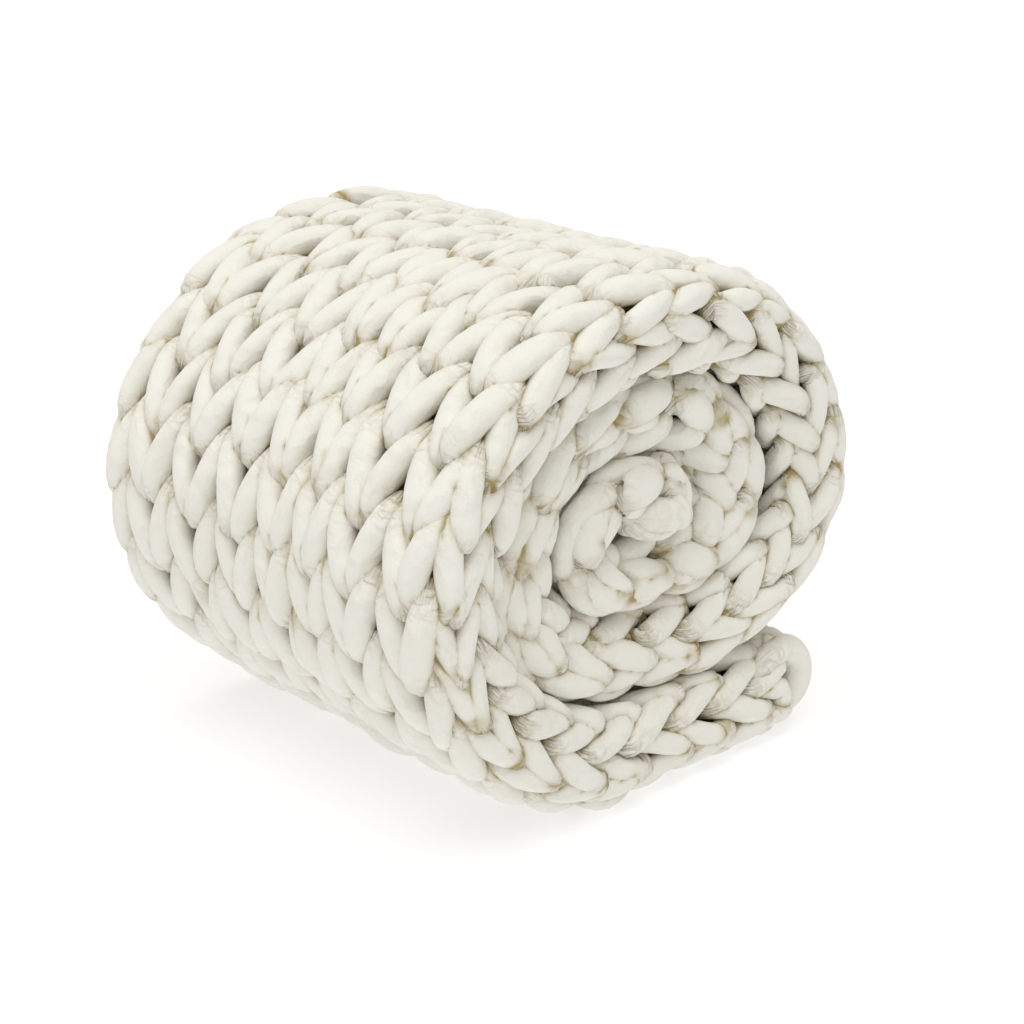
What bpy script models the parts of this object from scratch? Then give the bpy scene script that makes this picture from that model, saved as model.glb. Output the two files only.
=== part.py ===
"""Rolled chunky-knit weighted blanket: one knitted sheet wound into a roll.

Metres, +Z up. The roll's axis lies along Y, the floor is z = 0, the loose end points to +X, and the
origin is the centre of the bounding box's bottom.
"""
import math

import bmesh
import bpy
import numpy as np

ROLL_HEIGHT = 0.440
ROLL_LENGTH = 0.430

# Middle line of the wound sheet: radii from the roll's centre at every 45 degrees, going clockwise as
# seen from the front end, and the loose end's reach. All are fractions of ROLL_HEIGHT.
TURN_RADII = (
    # bottom, lower left, left, upper left, top, upper right, right, lower right
    (0.4125, 0.445, 0.480, 0.445, 0.4125, 0.445, 0.470, 0.313),
    (0.2290, 0.264, 0.298, 0.269, 0.2395, 0.262, 0.266, 0.103),
    (0.0675, 0.094, 0.136, 0.111, 0.0830, 0.103, 0.152),
)
CENTRE_HEIGHT = 0.5
RADII_PER_TURN = 8
WOUND_ANGLE_DEG = 956.0
LOOSE_END_X = 0.40
CURVE_SAMPLES = 4000
RUN_SAMPLES = 500
NORMAL_SMOOTHING_SAMPLES = 61

# Sheet thickness along the winding, as fractions of ROLL_HEIGHT: it is pressed thinner inside.
THICKNESS_ANGLE_DEG = (0.0, 250.0, 320.0, 640.0, 690.0, 740.0, 800.0, 850.0, 890.0, 990.0)
THICKNESS_FRACTION = (0.175, 0.172, 0.157, 0.144, 0.132, 0.134, 0.112, 0.116, 0.130, 0.132)

# The sheet's side edges are rounded, and the outer columns of the knit turn in round them.
EDGE_DEPTH = 0.034
EDGE_SQUARENESS = 2.5
EDGE_COVER = 0.83
EDGE_SAMPLES = 240

# Knit face: V stitches in columns that run round the roll. A leg of a V is one raised cell, a column
# is two rows of legs, and the middle column's V is on the sheet's middle line.
LEG_ROWS = 20
COURSE_PITCH = 0.049
V_RISE = 0.50
LEG_LEAN = 0.22
LEG_RELIEF = 0.0125
LEG_STEPS_SHOWN = {"along": (0.0, 0.30, 0.72), "height": (0.42, 1.00, 0.88)}
LEG_STEPS_WOUND_IN = {"along": (0.0, 0.55), "height": (0.55, 1.00)}
SHOWN_ANGLE_DEG = 330.0
LEG_UNEVENNESS = 0.12
FADE_LENGTH = 0.120

# The two cut ends close in rounded rows: their reach past the last course and what is left of the
# thickness there.
END_REACH = (0.55, 0.90, 1.0)
END_THICKNESS = (0.90, 0.60, 0.28)

# Flat spot under the roll, where the legs are pressed level.
FLAT_SPOT_X = (-0.110, 0.125)
FLAT_SPOT_HALF_LENGTH = 0.170
FLAT_SPOT_ANGLE_DEG = 60.0

BACK_COLUMNS_Y = (1.0, 0.35, -0.35, -1.0)

COTTON_COLOUR = (0.83, 0.81, 0.76, 1.0)
COTTON_ROUGHNESS = 0.92


def clear_scene():
    for obj in list(bpy.data.objects):
        bpy.data.objects.remove(obj, do_unlink=True)


def cubic_through(values, position):
    """Value of a Catmull-Rom curve through evenly spaced values, at positions counted in steps."""
    padded = np.concatenate(([2 * values[0] - values[1]], values, [2 * values[-1] - values[-2]]))
    step = np.clip(np.floor(position).astype(int), 0, len(values) - 2)
    t = position - step
    before, start, end, after = (padded[step + k] for k in range(4))
    return start + 0.5 * t * (
        end - before + t * (2 * before - 5 * start + 4 * end - after + t * (3 * (start - end) + after - before))
    )


def wound_line():
    """Middle line of the sheet from the loose end to the core.

    Position is centre + radius * (-sin angle, -cos angle), held up off the floor by half the
    thickness, after a straight run along the floor. Returns arc length, x, z, outward normal,
    thickness and wound angle at each sample.
    """
    radii = np.array([radius for turn in TURN_RADII for radius in turn]) * ROLL_HEIGHT
    angle = np.linspace(0.0, WOUND_ANGLE_DEG, CURVE_SAMPLES)
    radius = cubic_through(radii, angle * RADII_PER_TURN / 360.0)
    floor_line = radii[0]
    x = -radius * np.sin(np.radians(angle))
    z = CENTRE_HEIGHT * ROLL_HEIGHT - radius * np.cos(np.radians(angle))
    lowest = CENTRE_HEIGHT * ROLL_HEIGHT - floor_line
    run_x = np.linspace(LOOSE_END_X * ROLL_HEIGHT, 0.0, RUN_SAMPLES)[:-1]
    x = np.concatenate((run_x, x))
    z = np.concatenate((np.full(len(run_x), lowest), np.maximum(z, lowest)))
    angle = np.concatenate((np.zeros(len(run_x)), angle))
    arc = np.concatenate(([0.0], np.cumsum(np.hypot(np.diff(x), np.diff(z)))))
    along_x, along_z = np.gradient(x, arc), np.gradient(z, arc)
    size = np.hypot(along_x, along_z)
    normal = np.stack((-along_z / size, along_x / size), axis=1)
    weights = np.hanning(NORMAL_SMOOTHING_SAMPLES)
    weights /= weights.sum()
    for axis in range(2):
        padded = np.pad(normal[:, axis], NORMAL_SMOOTHING_SAMPLES // 2, mode="edge")
        normal[:, axis] = np.convolve(padded, weights, "valid")
    normal /= np.linalg.norm(normal, axis=1, keepdims=True)
    thickness = np.interp(angle, THICKNESS_ANGLE_DEG, THICKNESS_FRACTION) * ROLL_HEIGHT
    return {"arc": arc, "x": x, "z": z, "normal": normal, "thickness": thickness, "angle": angle}


def edge_path():
    """Half of the sheet's outline across its width, from the middle of the knit face round one edge.

    A straight run, then half a superellipse. Height is in half thicknesses, from 1 on the knit face
    to -1 on the back. Returns arc length, y, height and the outline's outward normal.
    """
    straight = ROLL_LENGTH / 2 - EDGE_DEPTH
    half_thickness = THICKNESS_FRACTION[1] * ROLL_HEIGHT / 2
    turn = np.linspace(math.pi / 2, -math.pi / 2, EDGE_SAMPLES)
    power = 2.0 / EDGE_SQUARENESS
    y = np.concatenate(([0.0], straight + EDGE_DEPTH * np.abs(np.cos(turn)) ** power))
    height = np.concatenate(([1.0], np.sign(np.sin(turn)) * np.abs(np.sin(turn)) ** power))
    arc = np.concatenate(([0.0], np.cumsum(np.hypot(np.diff(y), np.diff(height) * half_thickness))))
    along_y, along_h = np.gradient(y, arc), np.gradient(height * half_thickness, arc)
    return {"arc": arc, "y": y, "height": height, "normal_y": -along_h, "normal_h": along_y}


def face_columns(path, lean):
    """Points across the knit face: two for each row of legs, at its border and its crest.

    The crest leans towards the column's middle line by a share of half the row's width.
    """
    cover = path["arc"][1] + EDGE_COVER * (path["arc"][-1] - path["arc"][1])
    steps = np.arange(2 * LEG_ROWS + 1)
    toward_middle = np.where(steps % 4 == 3, 1.0, np.where(steps % 4 == 1, -1.0, 0.0))
    offset = ((steps + lean * toward_middle) / LEG_ROWS - 1) * cover
    side = np.sign(offset)
    reach = np.abs(offset)
    column = {key: np.interp(reach, path["arc"], path[key]) for key in ("y", "height", "normal_y", "normal_h")}
    column["y"] *= side
    column["normal_y"] *= side
    column["crest"] = (steps % 2).astype(float)
    in_column = (steps / 4.0) % 1.0
    column["lag"] = V_RISE * COURSE_PITCH * (1.0 - np.abs(in_column - 0.5) * 2.0)
    return column


def row_stations(line):
    """Rows along the winding as (arc length, leg height, leg lean, share of thickness, share of V)."""
    total = line["arc"][-1]
    courses = round(total / COURSE_PITCH)
    pitch = total / courses
    rows = []
    for reach, share in zip(reversed(END_REACH), reversed(END_THICKNESS)):
        rows.append((-reach * line["thickness"][0] / 2, 1.0, 0.0, share, 0.0))
    for course in range(courses):
        start = course * pitch
        shown = np.interp(start, line["arc"], line["angle"]) < SHOWN_ANGLE_DEG
        steps = LEG_STEPS_SHOWN if shown else LEG_STEPS_WOUND_IN
        for along, height in zip(steps["along"], steps["height"]):
            arc = start + along * pitch
            v_share = min(1.0, arc / FADE_LENGTH, (total - arc) / FADE_LENGTH)
            lean = LEG_LEAN * v_share * (2.0 * along - 1.0)
            rows.append((arc, height, lean, 1.0, v_share))
    rows.append((total, 1.0, 0.0, 1.0, 0.0))
    for reach, share in zip(END_REACH, END_THICKNESS):
        rows.append((total + reach * line["thickness"][-1] / 2, 1.0, 0.0, share, 0.0))
    return rows


def place(line, arc, y, height):
    """World points at arc lengths along the winding, y across it and heights off the middle line."""
    inside = np.clip(arc, 0.0, line["arc"][-1])
    past = arc - inside
    normal_x = np.interp(inside, line["arc"], line["normal"][:, 0])
    normal_z = np.interp(inside, line["arc"], line["normal"][:, 1])
    x = np.interp(inside, line["arc"], line["x"]) + normal_x * height + normal_z * past
    z = np.interp(inside, line["arc"], line["z"]) + normal_z * height - normal_x * past
    return np.stack((x, y, z), axis=-1)


def leg_unevenness(row, column_count):
    """Small steady differences between legs, from two waves out of step with the knit."""
    steps = np.arange(column_count)
    return LEG_UNEVENNESS * (np.sin(1.7 * row + 2.3 * steps) + np.sin(0.83 * row - 1.9 * steps)) / 2


def build_rows(line, path):
    back_y = np.array(BACK_COLUMNS_Y) * (ROLL_LENGTH / 2 - EDGE_DEPTH)
    rows = []
    for number, (arc, leg_height, lean, share, v_share) in enumerate(row_stations(line)):
        column = face_columns(path, lean)
        lag = column["lag"] * v_share
        face_arc = arc - lag
        thickness = np.interp(face_arc, line["arc"], line["thickness"])
        relief = LEG_RELIEF * thickness / line["thickness"][0]
        raised = column["crest"] * (leg_height + leg_unevenness(number, len(lag)) * v_share)
        middle = place(line, face_arc, column["y"], np.zeros(len(lag)))
        pressed = (
            (np.abs(column["y"]) < FLAT_SPOT_HALF_LENGTH)
            & (middle[:, 0] > FLAT_SPOT_X[0])
            & (middle[:, 0] < FLAT_SPOT_X[1])
            & (np.interp(face_arc, line["arc"], line["angle"]) < FLAT_SPOT_ANGLE_DEG)
        )
        sunk = np.where(pressed, 0.0, relief * (1.0 - np.minimum(raised, 1.0)) * v_share)
        y = column["y"] - sunk * column["normal_y"] * share
        height = (column["height"] * thickness / 2 - sunk * column["normal_h"]) * share
        face = place(line, face_arc, y, height)
        back_thickness = float(np.interp(arc, line["arc"], line["thickness"]))
        back = place(line, np.full(len(back_y), arc), back_y, np.full(len(back_y), -back_thickness / 2 * share))
        rows.append(np.concatenate((face, back)))
    return np.array(rows)


def build_blanket(collection):
    line = wound_line()
    points = build_rows(line, edge_path())
    points[:, :, 2] = np.maximum(points[:, :, 2], 0.0)
    points[:, :, 0] -= (points[:, :, 0].min() + points[:, :, 0].max()) / 2
    row_count, ring, _ = points.shape

    mesh = bpy.data.meshes.new("rolled_blanket")
    shape = bmesh.new()
    vertices = [[shape.verts.new(point) for point in row] for row in points]
    for row in range(row_count - 1):
        for step in range(ring):
            following = (step + 1) % ring
            shape.faces.new(
                (vertices[row][step], vertices[row][following], vertices[row + 1][following], vertices[row + 1][step])
            )
    ends = [shape.faces.new(list(reversed(vertices[0]))), shape.faces.new(vertices[-1])]
    bmesh.ops.poke(shape, faces=ends)
    bmesh.ops.triangulate(shape, faces=shape.faces, quad_method="SHORT_EDGE")
    bmesh.ops.recalc_face_normals(shape, faces=shape.faces)
    shape.to_mesh(mesh)
    shape.free()
    mesh.shade_smooth()

    blanket = bpy.data.objects.new("rolled_blanket", mesh)
    blanket.data.materials.append(cotton_material())
    collection.objects.link(blanket)
    return blanket


def cotton_material():
    material = bpy.data.materials.new("cream_cotton_tube")
    material.use_nodes = True
    shader = material.node_tree.nodes["Principled BSDF"]
    shader.inputs["Base Color"].default_value = COTTON_COLOUR
    shader.inputs["Roughness"].default_value = COTTON_ROUGHNESS
    shader.inputs["Metallic"].default_value = 0.0
    return material


def main():
    clear_scene()
    collection = bpy.data.collections.new("weighted_blanket")
    bpy.context.scene.collection.children.link(collection)
    build_blanket(collection)


main()
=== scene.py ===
"""Looks for the rolled chunky-knit weighted blanket: one padded cotton tube, knitted and wound up."""
import math

import bpy
import numpy as np
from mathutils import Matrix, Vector


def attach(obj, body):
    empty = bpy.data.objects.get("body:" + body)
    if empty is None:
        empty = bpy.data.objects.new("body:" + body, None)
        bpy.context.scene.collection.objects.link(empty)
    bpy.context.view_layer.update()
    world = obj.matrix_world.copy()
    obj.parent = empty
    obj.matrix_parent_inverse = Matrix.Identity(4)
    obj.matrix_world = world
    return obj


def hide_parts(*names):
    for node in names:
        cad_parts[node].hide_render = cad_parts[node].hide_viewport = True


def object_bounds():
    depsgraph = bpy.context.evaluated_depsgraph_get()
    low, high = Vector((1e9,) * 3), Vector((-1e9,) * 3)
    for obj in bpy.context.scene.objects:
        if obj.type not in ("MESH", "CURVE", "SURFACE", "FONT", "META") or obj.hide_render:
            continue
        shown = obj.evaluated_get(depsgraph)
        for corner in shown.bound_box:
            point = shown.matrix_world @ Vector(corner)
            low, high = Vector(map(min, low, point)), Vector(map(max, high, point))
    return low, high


bl_info = {
    "name": "Rolled chunky-knit blanket",
    "version": (1, 0, 0),
    "blender": (4, 5, 0),
    "location": "3D View > Sidebar > Knit Roll",
    "description": "Knits a padded cotton tube into a blanket and winds it into a roll",
    "category": "Add Mesh",
}

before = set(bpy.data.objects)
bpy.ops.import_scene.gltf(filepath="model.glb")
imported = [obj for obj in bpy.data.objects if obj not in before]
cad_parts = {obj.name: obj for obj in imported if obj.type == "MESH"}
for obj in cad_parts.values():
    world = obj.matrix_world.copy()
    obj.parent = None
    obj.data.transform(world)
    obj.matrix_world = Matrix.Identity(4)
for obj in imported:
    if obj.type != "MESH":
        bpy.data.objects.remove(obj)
CAD_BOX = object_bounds()

NODE = "rolled_blanket"

# The winding, as the solid has it: fractions of the roll's height, every 45 degrees, clockwise as
# seen from the front end.
ROLL_HEIGHT = 0.440
ROLL_LENGTH = 0.430
TURN_RADII = (
    # bottom, lower left, left, upper left, top, upper right, right, lower right
    (0.4125, 0.445, 0.480, 0.445, 0.4125, 0.445, 0.470, 0.313),
    (0.2290, 0.264, 0.298, 0.269, 0.2395, 0.262, 0.266, 0.103),
    (0.0675, 0.094, 0.136, 0.111, 0.0830, 0.103, 0.152),
)
CENTRE_HEIGHT = 0.5
RADII_PER_TURN = 8
WOUND_ANGLE_DEG = 956.0
LOOSE_END_X = 0.40
CURVE_SAMPLES = 4000
RUN_SAMPLES = 500
NORMAL_SMOOTHING_SAMPLES = 61
THICKNESS_ANGLE_DEG = (0.0, 250.0, 320.0, 640.0, 690.0, 740.0, 800.0, 850.0, 890.0, 990.0)
THICKNESS_FRACTION = (0.175, 0.172, 0.157, 0.144, 0.132, 0.134, 0.112, 0.116, 0.130, 0.132)
FULL_THICKNESS = THICKNESS_FRACTION[1] * ROLL_HEIGHT
EDGE_DEPTH = 0.034
EDGE_SQUARENESS = 2.5
EDGE_SAMPLES = 240

# Distances along the winding from the loose end, in metres: where the turns inside the rim begin,
# where the heart begins, and how much of the recess the edges have at each place.
INNER_TURNS = (1.25, 1.60)
HEART = (1.95, 2.10)
RECESS = ((1.25, 1.42, 1.95, 2.15), (0.0, 1.0, 1.0, 0.75))

# The knit: columns of stitches, the courses' tubes and how uneven they are. Wobbles are in metres,
# and as a share of the tube's radius for its own.
COURSE_PIECES = ("knit_outer", "knit_second", "knit_third", "knit_core")
WALES = 9
CURLED_WALES = 2
SIDES = 16
STEPS_PER_WALE = 38
BUMPS_PER_WALE = 11
KNOTS_PER_WALE = 4
COURSE_SEED = 11
COURSE_WOBBLE = {"along": 0.0042, "across": 0.0026, "depth": 0.0018, "radius": 0.04}
LOBE_SIZES = (0.035, 0.030)
LOBE_TURN = 1.5
PRESSED_SHARE = 0.65
CLOSING_STEPS = 6
FIRST_CLOSING = 0.25
ROW_UV_OFFSET = 1.7

# The loops round the cut ends, and how far the courses stay clear of those ends.
CHAIN_LOOPS = 9
CHAIN_RUN = 0.05
CHAIN_COVER = 0.016
CHAIN_SHADE = 0.25
LINK_SEED = 5
LINK_KNOTS = 6
LINK_WOBBLE = {"y": 0.003, "around": 0.004, "fat": 0.05}
LINK_CLOSING = 0.30
LINK_SINK = 0.75
FIRST_LINK = -1000
CIRCLE = 2.0

# The plump end in the heart: its place as (x from the roll's centre, z), and its unevenness.
CORE_END = (0.001, 0.243)
CORE_SEED = 3
CORE_STEPS = 7 * STEPS_PER_WALE
CORE_KNOTS = 24
CORE_LUMPS = 0.05
CORE_WAVE = 0.002
CORE_WAVE_RATE = 40
CORE_TILT = 0.1
CORE_CREASE_TURN = 2.2
CORE_DEPTH = 0.012

# Where tubes touch, which sets the painted shade in the seams between them: the gap at which that
# shade fades out, how much more an overlap counts, and how many rings of tube are looked at.
TOUCH_REACH = 0.010
OVERLAP_WEIGHT = 1.5
NEAR_RINGS = 32
OWN_STRETCH_STEPS = 13
RINGS_AT_ONCE = 1000
# Depth below the sheet's outline at which the painted shade of the hollows is full.
DEEP_SHADE_DISTANCE = 0.030

# Skin of the tube: patterns per metre, round or (along, around) the tube, and heights in metres.
LUMPS_PER_METRE = 38.0
GRAIN_PER_METRE = 480.0
PATCHES_PER_METRE = 9.0
FOLD_PATTERN, FOLD_SHARPNESS = (30.0, 3.0, 1.0), 10.0
PLEAT_PATTERN, PLEAT_SHARPNESS = (45.0, 15.0, 1.0), 9.0
BUCKLE_PATTERN, BUCKLE_SHARPNESS = (120.0, 4.0, 1.0), 8.0
PLEAT_POWER = 1.5
BUCKLE_SHARE = 1.6
FOLD_SHARE = 0.17
LUMP_HEIGHT = 0.0055
CREASE_DEPTH = 0.0034
GRAIN_HEIGHT = 0.0004

# Painted shade: how much of the shaded colour shows in the hollows, in the seams and in the creases.
DEEP_SHADE_GAIN, DEEP_SHADE_POWER, DEEP_SHADE_SHARE = 1.3, 2.2, 0.75
SEAM_SHADE_POWER, SEAM_SHADE_SHARE = 8.0, 1.3
CREASE_SHADE_SHARE = 0.70

FLOOR = 60.0
LENS_MM, SENSOR_MM = 74.01, 36.0
CAMERA_AZIMUTH = -43.488
CAMERA_ELEVATION = 20.664
CAMERA_PLACE = (-1.1462, -1.2456, 0.8307)

# How far each column of stitches sits from its even place, from the back edge to the front edge.
COLUMN_DRIFT = (-0.008, 0.0036, 0.0122, 0.0052, 0.0026, 0.0, 0.0084, 0.019, 0.0164, 0.0116, 0.015)

# Half a loop of the knit, from the middle of its head to the middle of its root, in even steps.
LOOP = {
    # head, shoulder, leg's round end, ..., leg's middle, ..., where the leg is tucked in, root
    "height": (-0.50, 0.08, 0.78, 1.00, 1.00, 0.80, 0.37, -0.25, -0.65),
    "edge_height": (0.00, 0.72, 1.06, 1.12, 1.02, 0.84, 0.54, 0.18, 0.00),
    "pinch": (0.60, 1.00, 0.40, 0.00, 0.00, 0.15, 0.75, 1.00, 0.80),
    "girth": (0.76, 0.76, 0.90, 1.04, 1.09, 1.06, 0.92, 0.75, 0.74),
}


def catmull_rom(before, start, end, after, t):
    """Cubic from start to end, whose slope at each is half the difference of its two neighbours."""
    bend = 2 * before - 5 * start + 4 * end - after
    twist = 3 * (start - end) + after - before
    return start + 0.5 * t * (end - before + t * (bend + t * twist))


def cubic_through(values, position):
    """Catmull-Rom curve through evenly spaced values."""
    padded = np.concatenate(([2 * values[0] - values[1]], values, [2 * values[-1] - values[-2]]))
    step = np.clip(np.floor(position).astype(int), 0, len(values) - 2)
    before, start, end, after = (padded[step + k] for k in range(4))
    return catmull_rom(before, start, end, after, position - step)


def around_loop(values, t):
    """Catmull-Rom curve through a loop's half table, mirrored into a whole turn of t."""
    whole = np.array(list(values) + list(values[-2:0:-1]))
    position = np.mod(t / (2 * math.pi) * len(whole), len(whole))
    step = np.floor(position).astype(int)
    before, start, end, after = (whole[(step + k) % len(whole)] for k in (-1, 0, 1, 2))
    return catmull_rom(before, start, end, after, position - step)


def wound_line():
    """Middle line of the sheet: centre + radius(angle) * (-sin angle, -cos angle), kept half a thickness
    off the floor, after a straight run from the loose end."""
    radii = np.array([radius for turn in TURN_RADII for radius in turn]) * ROLL_HEIGHT
    angle = np.linspace(0.0, WOUND_ANGLE_DEG, CURVE_SAMPLES)
    radius = cubic_through(radii, angle * RADII_PER_TURN / 360.0)
    x = -radius * np.sin(np.radians(angle))
    z = CENTRE_HEIGHT * ROLL_HEIGHT - radius * np.cos(np.radians(angle))
    lowest = CENTRE_HEIGHT * ROLL_HEIGHT - radii[0]
    run_x = np.linspace(LOOSE_END_X * ROLL_HEIGHT, 0.0, RUN_SAMPLES)[:-1]
    x = np.concatenate((run_x, x))
    z = np.concatenate((np.full(len(run_x), lowest), np.maximum(z, lowest)))
    angle = np.concatenate((np.zeros(len(run_x)), angle))
    arc = np.concatenate(([0.0], np.cumsum(np.hypot(np.diff(x), np.diff(z)))))
    normal = smoothed_normals(x, z, arc)
    thickness = np.interp(angle, THICKNESS_ANGLE_DEG, THICKNESS_FRACTION) * ROLL_HEIGHT
    reach = x + normal[:, 0] * thickness / 2
    shift = CAD_BOX[0].x - reach.min()
    return {"arc": arc, "x": x + shift, "z": z, "normal": normal, "thickness": thickness}


def smoothed_normals(x, z, arc):
    """Normals of a curve: its tangent turned a quarter, each averaged with its neighbours under a bell."""
    along_x, along_z = np.gradient(x, arc), np.gradient(z, arc)
    size = np.hypot(along_x, along_z)
    normal = np.stack((-along_z / size, along_x / size), axis=1)
    weights = np.hanning(NORMAL_SMOOTHING_SAMPLES)
    weights /= weights.sum()
    for axis in range(2):
        padded = np.pad(normal[:, axis], NORMAL_SMOOTHING_SAMPLES // 2, mode="edge")
        normal[:, axis] = np.convolve(padded, weights, "valid")
    return normal / np.linalg.norm(normal, axis=1, keepdims=True)


def rounded_edge(squareness, start):
    """Outline round one edge of the sheet: a straight run out to start on the knit face, a half
    superellipse, and a straight run in along the back. Gives arc length, reach, height and normal."""
    turn = np.linspace(math.pi / 2, -math.pi / 2, EDGE_SAMPLES)
    power = 2.0 / squareness
    bend = np.sign(np.sin(turn)) * np.abs(np.sin(turn)) ** power
    reach = np.concatenate(([0.0], start + EDGE_DEPTH * np.abs(np.cos(turn)) ** power, [0.0]))
    height = np.concatenate(([1.0], bend, [-1.0])) * FULL_THICKNESS / 2
    arc = np.concatenate(([0.0], np.cumsum(np.hypot(np.diff(reach), np.diff(height)))))
    even = np.linspace(0.0, arc[-1], 4 * EDGE_SAMPLES)
    reach, height = np.interp(even, arc, reach), np.interp(even, arc, height)
    out, up = -np.gradient(height, even), np.gradient(reach, even)
    size = np.hypot(out, up)
    return {"arc": even, "reach": reach, "height": height, "out": out / size, "up": up / size}


def place(line, along, y, height, out_along, out_y, out_height):
    """World points and outward normals of points in the flat cloth, given along, y and height off the
    middle: the section stands square to the middle line, its height scaled to the thickness there."""
    inside = np.clip(along, 0.0, line["arc"][-1])
    past = along - inside
    squeeze = np.interp(inside, line["arc"], line["thickness"]) / FULL_THICKNESS
    height = height * squeeze
    up_x = np.interp(inside, line["arc"], line["normal"][:, 0])
    up_z = np.interp(inside, line["arc"], line["normal"][:, 1])
    x = np.interp(inside, line["arc"], line["x"]) + up_x * height + up_z * past
    z = np.interp(inside, line["arc"], line["z"]) + up_z * height - up_x * past
    out_x = up_x * out_height + up_z * out_along
    out_z = up_z * out_height - up_x * out_along
    outward = np.stack((out_x, out_y, out_z), axis=-1)
    outward /= np.linalg.norm(outward, axis=-1, keepdims=True)
    return np.stack((x, y, z), axis=-1), outward, squeeze


def wind_across(line, path, along, across, depth, recess):
    """Points of a course: across runs along the outline of the sheet's width, depth goes in from it,
    and recess draws both edges in towards the middle of the roll's length."""
    side = np.sign(across)
    pick = {key: np.interp(np.abs(across), path["arc"], values) for key, values in path.items()}
    y = side * (pick["reach"] - depth * pick["out"] - recess)
    height = pick["height"] - depth * pick["up"]
    return place(line, along, y, height, np.zeros_like(y), side * pick["out"], pick["up"])


def wind_round_end(line, path, end, y, around, depth):
    """Points of an edge chain: around runs round the cut end of the sheet from the middle of its
    thickness, and depth goes in from it."""
    middle = np.interp(0.0, -path["height"], path["arc"])
    pick = {key: np.interp(middle + around, path["arc"], values) for key, values in path.items()}
    out = pick["reach"] - depth * pick["out"]
    height = pick["height"] - depth * pick["up"]
    sign = -1.0 if end == 0.0 else 1.0
    return place(line, end + sign * out, y, height, sign * pick["out"], np.zeros_like(y), pick["up"])


def uneven(rng, rows, knots, samples, size):
    """Small differences between stitches: one random value at each knot, eased between knots by a
    cosine ramp."""
    values = rng.normal(0.0, size, (rows, knots + 1))
    position = np.linspace(0.0, knots, samples, endpoint=True)
    step = np.minimum(position.astype(int), knots - 1)
    ease = 0.5 - 0.5 * np.cos(math.pi * (position - step))
    return values[:, step] * (1 - ease) + values[:, step + 1] * ease


def stuffing(rng, rows, knots, steps):
    """How the filling swells the tube: two lobes' sizes and the angle that they start from."""
    return (
        uneven(rng, rows, knots, steps, LOBE_SIZES[0]),
        uneven(rng, rows, knots, steps, LOBE_SIZES[1]),
        uneven(rng, rows, knots // 2, steps, LOBE_TURN),
    )


def edge_weights(course, across):
    """Three ramps from 0 to 1: how far a point is round a side edge, how far a point on such an edge is
    inside the rim, and how near its course is to the heart."""
    edge = np.clip((np.abs(across) - (ROLL_LENGTH / 2 - EDGE_DEPTH)) / EDGE_DEPTH, 0.0, 1.0)
    inner = edge * np.clip((course - INNER_TURNS[0]) / (INNER_TURNS[1] - INNER_TURNS[0]), 0.0, 1.0)
    heart = np.clip((course - HEART[0]) / (HEART[1] - HEART[0]), 0.0, 1.0)
    return edge, inner, heart


def depth_in_sheet(settings, t, edge, heart, wobble):
    """Depth of a course's middle line below the sheet's outline: radius + loop depth * (1 - height),
    with height from the loop's table, and from the shallower one for the side edges as edge goes to 1.
    The curled stitches are lifted off the sheet's back, or sunk into it at the heart."""
    radius = settings.yarn_thickness / 2
    face = radius + settings.loop_depth * (1 - around_loop(LOOP["height"], t)) + wobble
    side = radius + settings.loop_depth * (1 - around_loop(LOOP["edge_height"], t)) + wobble
    curled = np.clip(np.abs(t) / math.pi - (WALES + 1), 0.0, 1.0)
    lift = settings.curl_lift * (1 - heart) - settings.heart_sink * heart
    return face * (1 - edge) + side * edge - lift * curled


def knit_rows(settings, line, path, courses):
    """Middle line of the tube in each course, with its section.

    With t turning once per stitch: across = stitch width * t / turn + swing * sin 2t, and along =
    course - rise * cos t + hook * cos 3t. Depth follows the loop's table, so legs lie in front, each
    leg's round end stands over the root of the next leg, and heads and roots lie behind. Inside the
    rim the loops at the edges are shorter, their tube is fatter, and the edges are drawn in by the
    recess * (across / half the length) squared.
    """
    total = line["arc"][-1]
    count = settings.course_count
    pitch = (total + settings.core_reach - settings.first_course) / (count - 1)
    wales = WALES + 2 * CURLED_WALES
    steps = wales * STEPS_PER_WALE + 1
    knots = wales * KNOTS_PER_WALE
    t = np.linspace(-wales * math.pi, wales * math.pi, steps)[None, :]
    rng = np.random.default_rng(COURSE_SEED)
    wobble = {key: uneven(rng, count, knots, steps, size) for key, size in COURSE_WOBBLE.items()}

    course = settings.first_course + pitch * np.arange(count)[:, None]
    swing = np.where(np.abs(t) > WALES * math.pi, settings.edge_swing, settings.swing)
    column = t / (2 * math.pi) + swing * np.sin(2 * t)
    last = len(COLUMN_DRIFT) - 1
    drift = cubic_through(np.array(COLUMN_DRIFT), np.clip(column + last // 2, 0, last))
    across = -(settings.stitch_width * column - drift) + wobble["across"]
    edge, inner, heart = edge_weights(course, across)
    rise = settings.rise - settings.inner_crowding * inner * (1 + heart)
    along = course - pitch * (rise * np.cos(t) - settings.hook * np.cos(3 * t)) + wobble["along"]
    along = np.clip(along, CHAIN_COVER, total - CHAIN_COVER)
    depth = depth_in_sheet(settings, t, edge, heart, wobble["depth"])
    recess = settings.inner_recess * np.interp(course, *RECESS) * (np.abs(across) / (ROLL_LENGTH / 2)) ** 2

    bumps = uneven(rng, count, wales * BUMPS_PER_WALE, steps, settings.lumpiness)
    fat = around_loop(LOOP["girth"], t) * (1.0 + settings.edge_puff * edge + settings.inner_puff * inner)
    radius = settings.yarn_thickness / 2 * (fat + wobble["radius"] + bumps)
    lobes = stuffing(rng, count, knots, steps)
    keep = slice(*courses)
    centre, outward, squeeze = wind_across(
        line, path, along[keep], across[keep], depth[keep], recess[keep])
    t = np.broadcast_to(t, along.shape)
    return centre, outward, radius[keep], squeeze, t[keep], depth[keep], [lobe[keep] for lobe in lobes]


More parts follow.
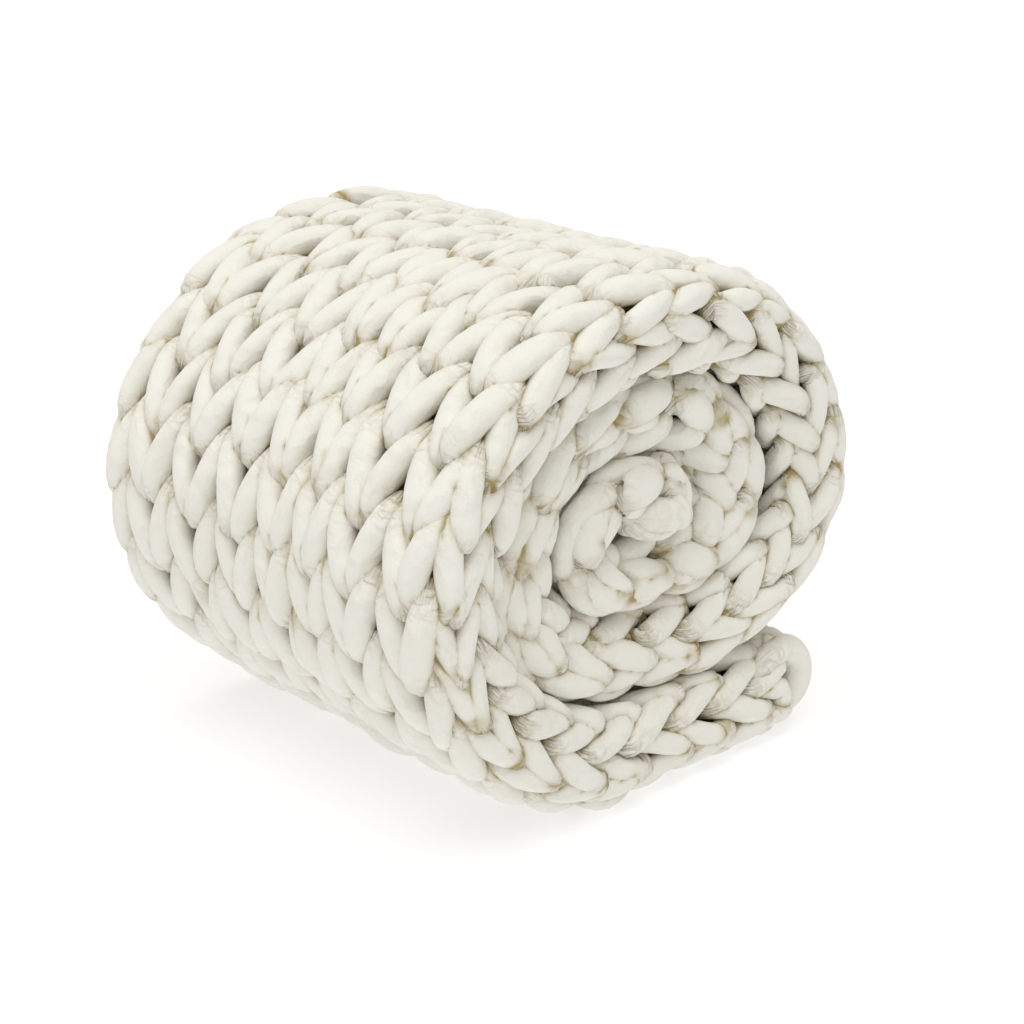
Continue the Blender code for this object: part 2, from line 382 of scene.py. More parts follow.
def pressed(squeeze):
    """Share of its height that a tube keeps where the sheet is squeezed to that share of its thickness."""
    return (1 - PRESSED_SHARE) + PRESSED_SHARE * squeeze


def knit_rings(settings, line, path):
    """Every second ring of all the courses."""
    centre, _, radius, squeeze, *_ = knit_rows(settings, line, path, (0, settings.course_count))
    rings = ring_table(centre, radius * pressed(squeeze), 0)
    return {key: values[::2] for key, values in rings.items()}


def chain_links(settings, line, end):
    """Middle line of the loops that wrap a cut end of the sheet, side by side along it.

    With t over a whole turn in each loop: around = lift + reach * cos t, so the loop goes over the end
    from one face to the other, and y = place + spread * (sin t + part of sin 2t) + lean * cos t, which
    brings both legs together underneath. Depth follows the loop's table for the side edges, less the
    heap on top.
    """
    path = rounded_edge(CIRCLE, CHAIN_RUN)
    drawn_in = settings.chain_in if end == 0.0 else settings.core_chain_in
    path["reach"] = path["reach"] - CHAIN_RUN - drawn_in
    steps = 2 * STEPS_PER_WALE
    t = np.linspace(-math.pi, math.pi, steps)[None, :]
    rng = np.random.default_rng(LINK_SEED)
    wobble = {key: uneven(rng, CHAIN_LOOPS, LINK_KNOTS, steps, size) for key, size in LINK_WOBBLE.items()}

    recess = settings.inner_recess * np.interp(end, *RECESS)
    half = ROLL_LENGTH / 2 - settings.chain_spread - settings.yarn_thickness / 2 - recess
    place_y = np.linspace(half, -half, CHAIN_LOOPS)[:, None]
    legs = np.sin(t) + LINK_CLOSING * np.sin(2 * t)
    lean = rng.normal(0.0, settings.chain_lean, (CHAIN_LOOPS, 1)) * np.cos(t)
    y = place_y + settings.chain_spread * legs + wobble["y"] + lean
    around = settings.chain_lift + settings.chain_reach * np.cos(t) + wobble["around"]
    radius = settings.yarn_thickness / 2 * settings.chain_puff
    heap = settings.chain_heap * np.clip(around / settings.chain_reach, 0.0, 1.0)
    depth = radius * LINK_SINK + settings.loop_depth * (1 - around_loop(LOOP["edge_height"], t)) - heap
    fat = around_loop(LOOP["girth"], t) + wobble["fat"]
    centre, outward, squeeze = wind_round_end(line, path, end, y, around, depth)
    lobes = stuffing(rng, CHAIN_LOOPS, LINK_KNOTS, steps)
    return centre, outward, radius * fat, squeeze, np.broadcast_to(t, y.shape), depth, lobes


def with_links(others, links):
    """The rings of the courses and of a chain's links, which are numbered from FIRST_LINK."""
    chain = ring_table(links[0], links[2], FIRST_LINK)
    return {key: np.concatenate((others[key], chain[key])) for key in others}


def core_end(settings, line):
    """Middle line of the plump end of the tube that is rolled in at the heart. It runs straight through
    the roll along y, turns a quarter circle at each side edge, and ends in a short run along x."""
    bend = settings.core_end_size / 2
    straight = ROLL_LENGTH / 2 + settings.core_end_out - settings.core_end_size / 2 - bend
    whole = straight + bend * math.pi / 2 + settings.core_end_run
    s = np.linspace(-whole, whole, CORE_STEPS)[None, :]
    turn = np.clip((np.abs(s) - straight) / bend, 0.0, math.pi / 2)
    run = np.clip(np.abs(s) - straight - bend * math.pi / 2, 0.0, None)
    y = np.sign(s) * (np.minimum(np.abs(s), straight) + bend * np.sin(turn))
    x = line["x"][RUN_SAMPLES - 1] + CORE_END[0] + bend * (1 - np.cos(turn)) + run
    z = CORE_END[1] + CORE_WAVE * np.cos(CORE_WAVE_RATE * s) + CORE_TILT * run
    centre = np.stack((x, y, z), axis=-1)
    outward = np.broadcast_to(np.array([0.0, 0.0, 1.0]), centre.shape)
    rng = np.random.default_rng(CORE_SEED)
    radius = settings.core_end_size / 2 * (1 + uneven(rng, 1, CORE_KNOTS, CORE_STEPS, CORE_LUMPS))
    t = np.full(s.shape, CORE_CREASE_TURN)
    depth = np.full(s.shape, CORE_DEPTH)
    lobes = stuffing(rng, 1, CORE_KNOTS // 2, CORE_STEPS)
    return centre, outward, radius, np.ones(s.shape), t, depth, lobes


def tube_points(centre, outward, radius, squeeze, lobes):
    """Rings of points round each middle line: centre + radius * (cos a * side + sin a * up), where side
    is tangent x outward, up is side x tangent, and up is shortened where the sheet is pressed thin. The
    stuffing makes the section uneven: radius * (1 + two * cos(2a + turn) + three * cos(3a - turn)). The
    last few rings at each end close in by a sine."""
    tangent = np.gradient(centre, axis=1)
    tangent /= np.linalg.norm(tangent, axis=-1, keepdims=True)
    side = np.cross(tangent, outward)
    side /= np.linalg.norm(side, axis=-1, keepdims=True)
    up = np.cross(side, tangent)
    angle = np.linspace(-math.pi / 2, 3 * math.pi / 2, SIDES, endpoint=False)
    round_ends = np.ones(centre.shape[1])
    closing = np.sin(np.linspace(FIRST_CLOSING, 1.0, CLOSING_STEPS) * math.pi / 2)
    round_ends[:CLOSING_STEPS] = closing
    round_ends[-CLOSING_STEPS:] = closing[::-1]
    two, three, turn = (values[..., None] for values in lobes)
    section = 1 + two * np.cos(2 * angle + turn) + three * np.cos(3 * angle - turn)
    size = (radius * round_ends)[..., None] * section
    rise = np.sin(angle) * size * pressed(squeeze)[..., None]
    reach = np.cos(angle) * size
    sideways = reach[..., None] * side[:, :, None, :]
    upwards = rise[..., None] * up[:, :, None, :]
    return centre[:, :, None, :] + sideways + upwards, rise


def ring_table(centre, radius, first_row):
    """Each ring's centre and radius as flat lists, with the number of its tube and its step along it."""
    rows, steps, _ = centre.shape
    return {
        "centre": centre.reshape(-1, 3).astype(np.float32),
        "radius": radius.ravel(),
        "row": np.repeat(np.arange(rows) + first_row, steps),
        "step": np.tile(np.arange(steps), rows),
    }


def nearest_rings(rings, others):
    """For each ring, the NEAR_RINGS of the others that are nearest, leaving out its own stretch of tube.
    Distances are compared as squares less the ring's own square: |b|^2 - 2 a.b."""
    size = (others["centre"] ** 2).sum(axis=1)
    nearest = []
    for start in range(0, len(rings["row"]), RINGS_AT_ONCE):
        part = slice(start, start + RINGS_AT_ONCE)
        away = size - 2 * rings["centre"][part] @ others["centre"].T
        same_tube = rings["row"][part, None] == others["row"]
        close_by = np.abs(rings["step"][part, None] - others["step"]) < OWN_STRETCH_STEPS
        away[same_tube & close_by] = np.inf
        nearest.append(np.argpartition(away, NEAR_RINGS, axis=1)[:, :NEAR_RINGS])
    return np.concatenate(nearest)


def touching(points, rings, others):
    """How closely other lengths of tube press on each point: 1 - gap / TOUCH_REACH, held between 0 and
    1. Gap is the distance to the nearest ring of another stretch of tube, less that ring's radius. Where
    two tubes share a place the gap is below 0, and counts by half as much again, so only the narrow
    line where they meet gets the painted shade that this value sets."""
    nearest = nearest_rings(rings, others)
    skin = points.reshape(len(nearest), -1, 3)
    gap = np.full(skin.shape[:2], np.inf)
    for pick in nearest.T:
        distance = np.linalg.norm(skin - others["centre"][pick][:, None], axis=-1)
        gap = np.minimum(gap, distance - others["radius"][pick][:, None])
    gap = np.where(gap < 0.0, -OVERLAP_WEIGHT * gap, gap)
    return np.clip(1 - gap / TOUCH_REACH, 0.0, 1.0).reshape(points.shape[:3])


def tube_uv(points, quad_count, loops):
    """UV of each face corner: metres along the tube in U, each tube starting at its own place, and
    turns round it in V."""
    rows, steps, sides, _ = points.shape
    step_length = np.linalg.norm(np.diff(points.mean(axis=2), axis=1), axis=-1)
    length = np.concatenate((np.zeros((rows, 1)), np.cumsum(step_length, axis=1)), axis=1)
    length += ROW_UV_OFFSET * np.arange(rows)[:, None]
    u = np.repeat(length.ravel(), sides)[loops]
    v = np.tile(np.arange(sides) / sides, rows * steps)[loops]
    corner = v[: quad_count * 4].reshape(-1, 4)
    corner[:, 1:3] = np.where(corner[:, 1:3] == 0.0, 1.0, corner[:, 1:3])
    return np.stack((u, v), axis=-1)


def tube_mesh(name, points, attributes):
    """One mesh of all the tubes: quads between rings, and one flat face closing each end."""
    rows, steps, sides, _ = points.shape
    index = np.arange(rows * steps * sides).reshape(rows, steps, sides)
    beside = np.roll(index, -1, axis=2)
    quads = np.stack((index[:, :-1], beside[:, :-1], beside[:, 1:], index[:, 1:]), axis=-1).reshape(-1, 4)
    caps = [row[::-1] for row in index[:, 0]] + list(index[:, -1])
    loops = np.concatenate([quads.ravel()] + caps)
    starts = np.concatenate((np.arange(len(quads)) * 4, len(quads) * 4 + np.arange(len(caps)) * sides))
    mesh = bpy.data.meshes.new(name)
    mesh.vertices.add(rows * steps * sides)
    mesh.vertices.foreach_set("co", points.astype(np.float32).ravel())
    mesh.loops.add(len(loops))
    mesh.loops.foreach_set("vertex_index", loops.astype(np.int32))
    mesh.polygons.add(len(starts))
    mesh.polygons.foreach_set("loop_start", starts.astype(np.int32))
    mesh.polygons.foreach_set("use_smooth", np.ones(len(starts), bool))
    mesh.update(calc_edges=True)
    layer = mesh.uv_layers.new(name="along_tube")
    layer.data.foreach_set("uv", tube_uv(points, len(quads), loops).astype(np.float32).ravel())
    for key, values in attributes.items():
        attribute = mesh.attributes.new(key, "FLOAT", "POINT")
        attribute.data.foreach_set("value", values.astype(np.float32).ravel())
    mesh.validate()
    return mesh


def knit_mesh(name, shade, neighbours, centre, outward, radius, squeeze, t, depth, lobes):
    """Mesh of some lengths of tube, with three values at each point: pinch, from 0 where the tube is
    full to 1 where it is drawn together; a painted shade for the hollows between loops, the distance
    below the sheet's outline over the depth at which that shade is full, held between 0 and 1; and
    touch, 1 where another length of tube presses on it, which sets the painted shade in the seams.
    The first two are scaled by shade. Nothing goes below the floor."""
    points, rise = tube_points(centre, outward, radius, squeeze, lobes)
    points[..., 2] = np.maximum(points[..., 2], 0.0)
    first_row, others = neighbours
    touch = touching(points, ring_table(centre, radius, first_row), others)
    pinch = np.broadcast_to(around_loop(LOOP["pinch"], t)[..., None], rise.shape)
    # Painted shade: the deeper below the sheet's outline, the darker the colour.
    deep_shade = np.clip((depth[..., None] - rise) / DEEP_SHADE_DISTANCE, 0.0, 1.0)
    values = {"pinch": shade * np.clip(pinch, 0.0, 1.0), "deep_shade": shade * deep_shade, "touch": touch}
    return tube_mesh(name, points, values)


def add_piece(name, mesh, material):
    """A padded piece of the blanket, which rides on the part's one body in place of its solid."""
    piece = bpy.data.objects.new(name, mesh)
    bpy.context.scene.collection.objects.link(piece)
    mesh.materials.append(material)
    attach(piece, "root")
    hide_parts(NODE)


def node_group(name, inputs, outputs):
    """A shader node group with named sockets, and its group input and output nodes."""
    group = bpy.data.node_groups.new(name, "ShaderNodeTree")
    for label, kind, default in inputs:
        socket = group.interface.new_socket(label, in_out="INPUT", socket_type=kind)
        socket.default_value = default
    for label, kind in outputs:
        group.interface.new_socket(label, in_out="OUTPUT", socket_type=kind)
    return group, group.nodes.new("NodeGroupInput"), group.nodes.new("NodeGroupOutput")


def math_node(group, operation, first, second=None, clamp=False):
    """A Math node fed by sockets or numbers. Gives its result socket."""
    node = group.nodes.new("ShaderNodeMath")
    node.operation = operation
    node.use_clamp = clamp
    for socket, value in zip(node.inputs, (first, second)):
        if isinstance(value, bpy.types.NodeSocket):
            group.links.new(value, socket)
        elif value is not None:
            socket.default_value = value
    return node.outputs[0]


def mix_node(group, factor, first, second):
    """A Mix node between two colour sockets. Gives its result socket."""
    node = group.nodes.new("ShaderNodeMix")
    node.data_type = "RGBA"
    group.links.new(factor, node.inputs["Factor"])
    group.links.new(first, node.inputs["A"])
    group.links.new(second, node.inputs["B"])
    return node.outputs["Result"]


def noise_node(group, vector, scale, detail, roughness=0.5):
    """A noise of scale waves per unit of the vector. Gives its value from 0 to 1."""
    node = group.nodes.new("ShaderNodeTexNoise")
    node.inputs["Scale"].default_value = scale
    node.inputs["Detail"].default_value = detail
    node.inputs["Roughness"].default_value = roughness
    group.links.new(vector, node.inputs["Vector"])
    return node.outputs["Fac"]


def attribute_node(group, name):
    """One of the values that the mesh holds at its points."""
    node = group.nodes.new("ShaderNodeAttribute")
    node.attribute_name = name
    return node.outputs["Fac"]


def ridges(group, vector, pattern, sharpness):
    """Thin lines, 1 along their middle and 0 between them, where a noise crosses its middle value. The
    vector is multiplied by pattern first."""
    stretched = group.nodes.new("ShaderNodeVectorMath")
    stretched.operation = "MULTIPLY"
    stretched.inputs[1].default_value = pattern
    group.links.new(vector, stretched.inputs[0])
    noise = noise_node(group, stretched.outputs[0], scale=1.0, detail=1.5, roughness=0.55)
    away = math_node(group, "ABSOLUTE", math_node(group, "SUBTRACT", noise, 0.5))
    return math_node(group, "SUBTRACT", 1.0, math_node(group, "MULTIPLY", away, sharpness, clamp=True))


def wrinkle_group():
    """Height of the tube's skin in metres: soft lumps of filling, folds along the tube, pleats where it
    is drawn together, buckles beside them, and the fine ribs of the jersey. The second output is the
    pleats and buckles alone, from 0 to 1, which marks where shade is painted in the creases."""
    outputs = (("Height", "NodeSocketFloat"), ("Crease_shade", "NodeSocketFloat"))
    group, _, result = node_group("cotton_relief", (), outputs)
    around = group.nodes.new("ShaderNodeTexCoord").outputs["Object"]
    uv_map = group.nodes.new("ShaderNodeUVMap")
    uv_map.uv_map = "along_tube"
    tube = uv_map.outputs["UV"]
    pinch = attribute_node(group, "pinch")

    lumps = noise_node(group, around, LUMPS_PER_METRE, 1.0)
    folds = ridges(group, tube, FOLD_PATTERN, FOLD_SHARPNESS)
    pleats = ridges(group, tube, PLEAT_PATTERN, PLEAT_SHARPNESS)
    buckles = ridges(group, tube, BUCKLE_PATTERN, BUCKLE_SHARPNESS)
    drawn = math_node(group, "POWER", pinch, PLEAT_POWER)
    half_drawn = math_node(group, "MULTIPLY", pinch, math_node(group, "SUBTRACT", 1.0, pinch))
    bent = math_node(group, "MULTIPLY", half_drawn, BUCKLE_SHARE)
    pleated = math_node(group, "MULTIPLY", pleats, drawn)
    buckled = math_node(group, "MULTIPLY", buckles, bent)
    crease = math_node(group, "ADD", pleated, buckled, clamp=True)
    dents = math_node(group, "ADD", crease, math_node(group, "MULTIPLY", folds, FOLD_SHARE))
    grain = noise_node(group, around, GRAIN_PER_METRE, 1.0)

    height = math_node(group, "MULTIPLY", lumps, LUMP_HEIGHT)
    height = math_node(group, "SUBTRACT", height, math_node(group, "MULTIPLY", dents, CREASE_DEPTH))
    height = math_node(group, "ADD", height, math_node(group, "MULTIPLY", grain, GRAIN_HEIGHT))
    group.links.new(height, result.inputs["Height"])
    group.links.new(crease, result.inputs["Crease_shade"])
    return group


def cotton_colour_and_shade_group():
    """Colour of the cotton, the two creams mixed in broad patches, with painted shade: the shaded colour
    mixed in the hollows between the loops, in the seams between tubes and in creases, where shade falls."""
    white = (1, 1, 1, 1)
    colours = tuple((label, "NodeSocketColor", white) for label in ("Light", "Warm", "Shaded"))
    inputs = colours + (("Crease_shade", "NodeSocketFloat", 0.0),)
    group, given, result = node_group("cotton_colour_and_shade", inputs, (("Color", "NodeSocketColor"),))
    around = group.nodes.new("ShaderNodeTexCoord").outputs["Object"]
    patches = noise_node(group, around, PATCHES_PER_METRE, 3.0)
    cream = mix_node(group, patches, given.outputs["Light"], given.outputs["Warm"])

    # Painted shade: darker in the hollows, where tubes press together, and in the creases.
    deep_shade = math_node(group, "MULTIPLY", attribute_node(group, "deep_shade"), DEEP_SHADE_GAIN)
    deep_shade = math_node(group, "POWER", deep_shade, DEEP_SHADE_POWER)
    seam_shade = math_node(group, "POWER", attribute_node(group, "touch"), SEAM_SHADE_POWER)
    crease = math_node(group, "MULTIPLY", given.outputs["Crease_shade"], CREASE_SHADE_SHARE)
    deep_shade = math_node(group, "MULTIPLY", deep_shade, DEEP_SHADE_SHARE)
    shade = math_node(group, "ADD", deep_shade, math_node(group, "MULTIPLY", seam_shade, SEAM_SHADE_SHARE))
    shade = math_node(group, "ADD", shade, crease, clamp=True)
    group.links.new(mix_node(group, shade, cream, given.outputs["Shaded"]), result.inputs["Color"])
    return group


def cotton_material(colours):
    """Matt cream cotton, with its relief as a bump and its colour, painted shade included, from the
    cotton's node group.
    """
    material = bpy.data.materials.new("cream_cotton")
    material.use_nodes = True
    tree = material.node_tree
    shader = tree.nodes["Principled BSDF"]
    shader.inputs["Roughness"].default_value = 0.92
    shader.inputs["Specular IOR Level"].default_value = 0.25
    relief = tree.nodes.new("ShaderNodeGroup")
    relief.node_tree = bpy.data.node_groups.get("cotton_relief") or wrinkle_group()
    colour = tree.nodes.new("ShaderNodeGroup")
    colour.node_tree = bpy.data.node_groups.get("cotton_colour_and_shade") or cotton_colour_and_shade_group()
    colour.inputs["Light"].default_value = (*colours.light, 1.0)
    colour.inputs["Warm"].default_value = (*colours.warm, 1.0)
    # The colour of the painted shade.
    colour.inputs["Shaded"].default_value = (*colours.deep_shade, 1.0)
    bump = tree.nodes.new("ShaderNodeBump")
    bump.inputs["Strength"].default_value = 1.0
    bump.inputs["Distance"].default_value = 1.0
    tree.links.new(relief.outputs["Height"], bump.inputs["Height"])
    tree.links.new(bump.outputs["Normal"], shader.inputs["Normal"])
    tree.links.new(relief.outputs["Crease_shade"], colour.inputs["Crease_shade"])
    tree.links.new(colour.outputs["Color"], shader.inputs["Base Color"])
    return material


def add_floor(scene, studio):
    """A square white floor, a little lit from below."""
    mesh = bpy.data.meshes.new("floor")
    corners = [(-FLOOR, -FLOOR, 0), (FLOOR, -FLOOR, 0), (FLOOR, FLOOR, 0), (-FLOOR, FLOOR, 0)]
    mesh.from_pydata(corners, [], [(0, 1, 2, 3)])
    floor = bpy.data.objects.new("floor", mesh)
    scene.collection.objects.link(floor)
    material = bpy.data.materials.new("white_floor")
    material.use_nodes = True
    shader = material.node_tree.nodes["Principled BSDF"]
    shader.inputs["Base Color"].default_value = (*[studio.floor_shade] * 3, 1.0)
    shader.inputs["Roughness"].default_value = 0.9
    shader.inputs["Emission Color"].default_value = (1, 1, 1, 1)
    shader.inputs["Emission Strength"].default_value = studio.floor_glow
    mesh.materials.append(material)


def add_lights(scene, studio):
    """An even room light, which itself looks white past the floor, and one wide softbox."""
    world = bpy.data.worlds.new("studio")
    world.use_nodes = True
    tree = world.node_tree
    room = tree.nodes["Background"]
    room.inputs["Color"].default_value = (*studio.room_colour, 1.0)
    room.inputs["Strength"].default_value = studio.room_strength
    backdrop = tree.nodes.new("ShaderNodeBackground")
    backdrop.inputs["Color"].default_value = (1, 1, 1, 1)
    seen = tree.nodes.new("ShaderNodeLightPath")
    either = tree.nodes.new("ShaderNodeMixShader")
    tree.links.new(seen.outputs["Is Camera Ray"], either.inputs[0])
    tree.links.new(room.outputs[0], either.inputs[1])
    tree.links.new(backdrop.outputs[0], either.inputs[2])
    tree.links.new(either.outputs[0], tree.nodes["World Output"].inputs["Surface"])
    scene.world = world
    light = bpy.data.lights.new("softbox", "SUN")
    light.energy = studio.sun_strength
    light.angle = studio.sun_spread
    lamp = bpy.data.objects.new("softbox", light)
    lamp.rotation_euler = Vector(studio.sun_from).to_track_quat("Z", "Y").to_euler()
    scene.collection.objects.link(lamp)


def add_camera(scene):
    """A camera at the front left, turned CAMERA_AZIMUTH round the roll and raised CAMERA_ELEVATION."""
    camera = bpy.data.cameras.new("camera")
    camera.lens = LENS_MM
    camera.sensor_width = SENSOR_MM
    viewer = bpy.data.objects.new("camera", camera)
    scene.collection.objects.link(viewer)
    azimuth, elevation = math.radians(CAMERA_AZIMUTH), math.radians(CAMERA_ELEVATION)
    back = Vector((
        math.sin(azimuth) * math.cos(elevation),
        -math.cos(azimuth) * math.cos(elevation),
        math.sin(elevation),
    ))
    viewer.rotation_euler = (-back).to_track_quat("-Z", "Y").to_euler()
    shift = wound_line()["x"][RUN_SAMPLES - 1]
    viewer.location = (CAMERA_PLACE[0] + shift, CAMERA_PLACE[1], CAMERA_PLACE[2])
    scene.camera = viewer


class ColourSettings(bpy.types.PropertyGroup):
    """Colours of the cotton, and of its painted shade"""
    light: bpy.props.FloatVectorProperty(
        name="Light cream", description="Lighter colour of the cotton",
        subtype="COLOR", size=3, min=0, max=1, default=(0.875, 0.866, 0.830))
    warm: bpy.props.FloatVectorProperty(
        name="Warm cream", description="Warmer colour of the cotton",
        subtype="COLOR", size=3, min=0, max=1, default=(0.860, 0.843, 0.780))
    # Painted shade: this colour is mixed in where shade falls, in creases, in seams and between loops.
    deep_shade: bpy.props.FloatVectorProperty(
        name="Deep cream", description="Colour in creases and between loops",
        subtype="COLOR", size=3, min=0, max=1, default=(0.42, 0.335, 0.155))


class KnitSettings(bpy.types.PropertyGroup):
    """Sizes of the tube, its stitches, the loops round the cut ends and the plump end"""
    yarn_thickness: bpy.props.FloatProperty(
        name="Tube thickness", description="Thickness of the padded cotton tube",
        default=0.0235, unit="LENGTH")
    lumpiness: bpy.props.FloatProperty(
        name="Lumpiness", description="How unevenly the tube is filled, as a share of its radius",
        default=0.045)
    course_count: bpy.props.IntProperty(
        name="Courses", description="Rows of stitches from the loose end to the core", default=45)
    first_course: bpy.props.FloatProperty(
        name="First course", description="Distance of the first course from the loose end",
        default=0.022, unit="LENGTH")
    core_reach: bpy.props.FloatProperty(
        name="Core reach", description="How far the last course is past the core end",
        default=0.0, unit="LENGTH")
    stitch_width: bpy.props.FloatProperty(
        name="Stitch width", description="Distance between columns of stitches",
        default=0.0546, unit="LENGTH")
    rise: bpy.props.FloatProperty(
        name="Loop rise", description="Half a loop's height, in courses", default=0.85)
    hook: bpy.props.FloatProperty(
        name="Loop hook", description="How far heads and roots are drawn in, in courses", default=0.10)
    swing: bpy.props.FloatProperty(
        name="Loop swing", description="Sideways bulge of a loop, in stitches", default=0.27)
    loop_depth: bpy.props.FloatProperty(
        name="Loop depth", description="Half of how far heads lie behind legs",
        default=0.0250, unit="LENGTH")
    edge_swing: bpy.props.FloatProperty(
        name="Edge swing", description="Sideways bulge of the loops that wrap the side edges",
        default=0.35)
    edge_puff: bpy.props.FloatProperty(
        name="Edge puff", description="Extra thickness of the tube at the side edges", default=-0.13)
    curl_lift: bpy.props.FloatProperty(
        name="Curl lift", description="How proud the curled edge stands on the back",
        default=0.0100, unit="LENGTH")
    inner_recess: bpy.props.FloatProperty(
        name="Inner recess", description="How far the edges of the inner turns lie inside the roll's rim",
        default=0.017, unit="LENGTH")
    inner_crowding: bpy.props.FloatProperty(
        name="Inner crowding", description="How much shorter edge loops are in the inner turns, in courses",
        default=0.18)
    inner_puff: bpy.props.FloatProperty(
        name="Inner puff", description="Extra thickness of the tube at the edges of the inner turns",
        default=0.27)
    heart_sink: bpy.props.FloatProperty(
        name="Heart sink", description="How deep the curled edge sinks in the heart of the roll",
        default=0.012, unit="LENGTH")
    chain_reach: bpy.props.FloatProperty(
        name="Chain reach", description="How far each end loop goes round the cut end, either way",
        default=0.075, unit="LENGTH")
    chain_spread: bpy.props.FloatProperty(
        name="Chain spread", description="Half the distance between the legs of an end loop",
        default=0.0115, unit="LENGTH")
    chain_lean: bpy.props.FloatProperty(
        name="Chain lean", description="How unevenly the end loops lean to one side",
        default=0.004, unit="LENGTH")
    chain_lift: bpy.props.FloatProperty(
        name="Chain lift", description="How far an end loop lies from the middle towards the sheet's back",
        default=0.010, unit="LENGTH")
    chain_heap: bpy.props.FloatProperty(
        name="Chain heap", description="How high the end loops are heaped on the tail's top",
        default=0.012, unit="LENGTH")
    chain_puff: bpy.props.FloatProperty(
        name="Chain puff", description="Thickness of the tube in the end loops, as a share", default=1.15)
    chain_in: bpy.props.FloatProperty(
        name="Chain in", description="How far the end loops are drawn in from the tip",
        default=0.012, unit="LENGTH")
    core_chain_in: bpy.props.FloatProperty(
        name="Core chain in", description="How far the end loops at the heart are drawn in",
        default=0.024, unit="LENGTH")
    core_end_size: bpy.props.FloatProperty(
        name="Core end size", description="Width of the plump end rolled in at the heart",
        default=0.031, unit="LENGTH")
    core_end_run: bpy.props.FloatProperty(
        name="Core end run", description="How far that end lies along the end face",
        default=0.016, unit="LENGTH")
    core_end_out: bpy.props.FloatProperty(
        name="Core end out", description="How far that end stands out of the roll",
        default=0.002, unit="LENGTH")


class StudioSettings(bpy.types.PropertyGroup):
    """Light and floor of the stage"""
    sun_strength: bpy.props.FloatProperty(
        name="Softbox strength", description="Light of the softbox", default=1.98)
    sun_spread: bpy.props.FloatProperty(
        name="Softbox spread", description="How wide the softbox looks from the blanket",
        subtype="ANGLE", default=math.radians(62.0))
    sun_from: bpy.props.FloatVectorProperty(
        name="Softbox side", description="Where the light comes from",
        subtype="DIRECTION", default=(-0.19, -0.12, 1.0))
    room_strength: bpy.props.FloatProperty(
        name="Room light", description="Light of the room", default=0.43)
    room_colour: bpy.props.FloatVectorProperty(
        name="Room colour", description="Colour of the room's light",
        subtype="COLOR", size=3, min=0, max=1, default=(1.0, 0.972, 0.875))
    floor_shade: bpy.props.FloatProperty(
        name="Floor shade", description="How pale the floor is", default=0.50)
    floor_glow: bpy.props.FloatProperty(
        name="Floor glow", description="Light from below the floor", default=0.565)


class KNITROLL_OT_courses(bpy.types.Operator):
    """Knit the courses of the blanket as padded tubes, in four lengths of the winding"""
    bl_idname = "knitroll.courses"
    bl_label = "Knitted courses"

    def execute(self, context):
        settings = context.scene.knit_roll
        line, path = wound_line(), rounded_edge(EDGE_SQUARENESS, ROLL_LENGTH / 2 - EDGE_DEPTH)
        material = cotton_material(context.scene.knit_roll_colours)
        others = knit_rings(settings, line, path)
        starts = np.linspace(0, settings.course_count, len(COURSE_PIECES) + 1).astype(int)
        for name, start, stop in zip(COURSE_PIECES, starts[:-1], starts[1:]):
            rows = knit_rows(settings, line, path, (start, stop))
            add_piece(name, knit_mesh(name, 1.0, (start, others), *rows), material)
        return {"FINISHED"}


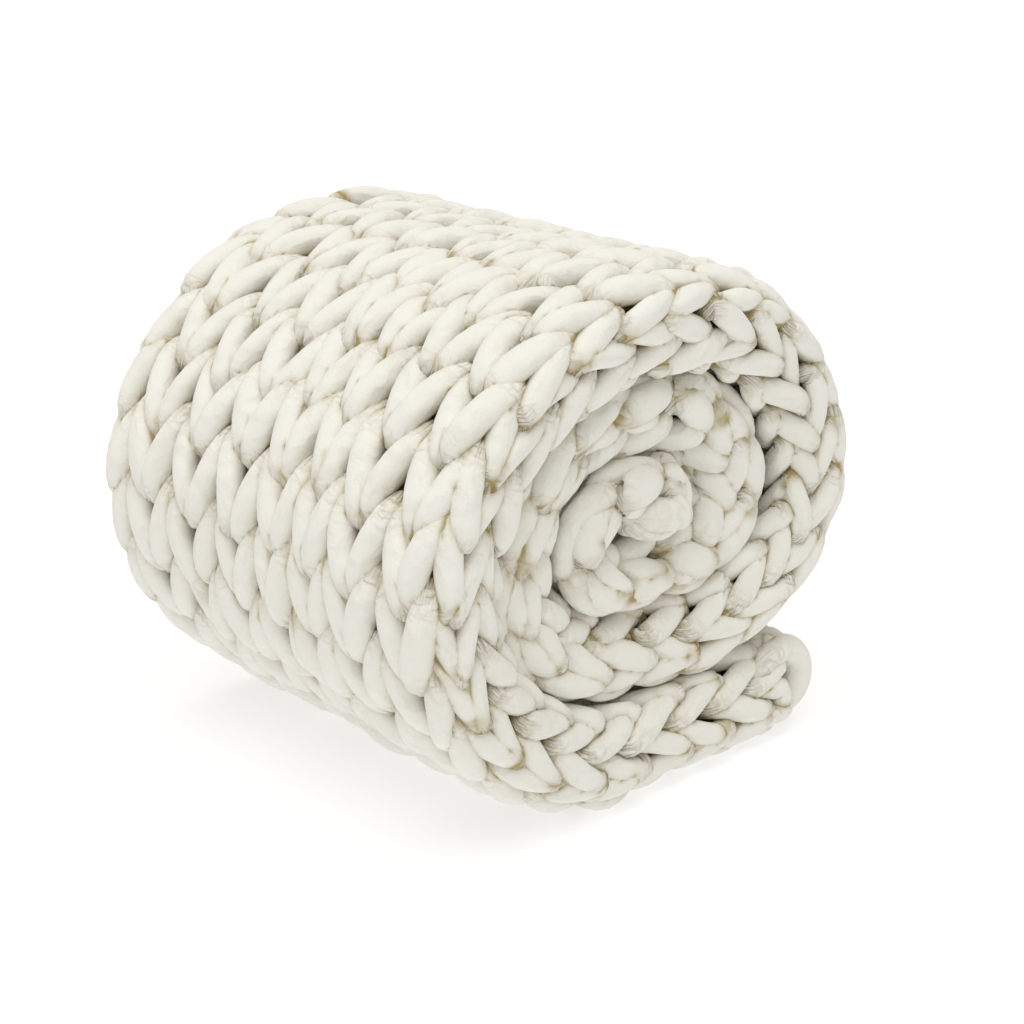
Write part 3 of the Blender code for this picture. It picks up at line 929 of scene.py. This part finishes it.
class KNITROLL_OT_edge_chains(bpy.types.Operator):
    """Wrap the loose end and the core end in chains of loops, and roll the tube's plump end in"""
    bl_idname = "knitroll.edge_chains"
    bl_label = "Edge chains"

    def execute(self, context):
        settings = context.scene.knit_roll
        line, path = wound_line(), rounded_edge(EDGE_SQUARENESS, ROLL_LENGTH / 2 - EDGE_DEPTH)
        material = cotton_material(context.scene.knit_roll_colours)
        others = knit_rings(settings, line, path)
        for name, end in (("bind_off_chain", 0.0), ("cast_on_chain", line["arc"][-1])):
            links = chain_links(settings, line, end)
            neighbours = (FIRST_LINK, with_links(others, links))
            add_piece(name, knit_mesh(name, CHAIN_SHADE, neighbours, *links), material)
        mesh = knit_mesh("core_end", CHAIN_SHADE, (FIRST_LINK, others), *core_end(settings, line))
        add_piece("core_end", mesh, material)
        return {"FINISHED"}


class KNITROLL_OT_stage(bpy.types.Operator):
    """Set the floor, the studio light and the camera"""
    bl_idname = "knitroll.stage"
    bl_label = "Stage"

    def execute(self, context):
        scene = context.scene
        studio = scene.knit_roll_studio
        scene.view_settings.view_transform = "Standard"
        add_floor(scene, studio)
        add_lights(scene, studio)
        add_camera(scene)
        return {"FINISHED"}


class KNITROLL_PT_panel(bpy.types.Panel):
    """Sizes, colours and light, and a button for each group of pieces"""
    bl_idname = "KNITROLL_PT_panel"
    bl_label = "Knit Roll"
    bl_space_type = "VIEW_3D"
    bl_region_type = "UI"
    bl_category = "Knit Roll"

    def draw(self, context):
        scene = context.scene
        for settings in (scene.knit_roll, scene.knit_roll_colours, scene.knit_roll_studio):
            box = self.layout.box()
            for key in type(settings).__annotations__:
                box.prop(settings, key)
        for operator in (KNITROLL_OT_courses, KNITROLL_OT_edge_chains, KNITROLL_OT_stage):
            self.layout.operator(operator.bl_idname)


CLASSES = (
    KnitSettings, ColourSettings, StudioSettings, KNITROLL_OT_courses, KNITROLL_OT_edge_chains,
    KNITROLL_OT_stage, KNITROLL_PT_panel,
)


def register():
    """Register the classes, and give each scene its three groups of settings."""
    for cls in CLASSES:
        bpy.utils.register_class(cls)
    bpy.types.Scene.knit_roll = bpy.props.PointerProperty(type=KnitSettings)
    bpy.types.Scene.knit_roll_colours = bpy.props.PointerProperty(type=ColourSettings)
    bpy.types.Scene.knit_roll_studio = bpy.props.PointerProperty(type=StudioSettings)


def unregister():
    """Undo register, in the opposite order."""
    del bpy.types.Scene.knit_roll_studio
    del bpy.types.Scene.knit_roll_colours
    del bpy.types.Scene.knit_roll
    for cls in reversed(CLASSES):
        bpy.utils.unregister_class(cls)


def main():
    """Build the pieces and the stage."""
    register()
    bpy.ops.knitroll.courses()
    bpy.ops.knitroll.edge_chains()
    bpy.ops.knitroll.stage()


if __name__ == "__main__":
    main()
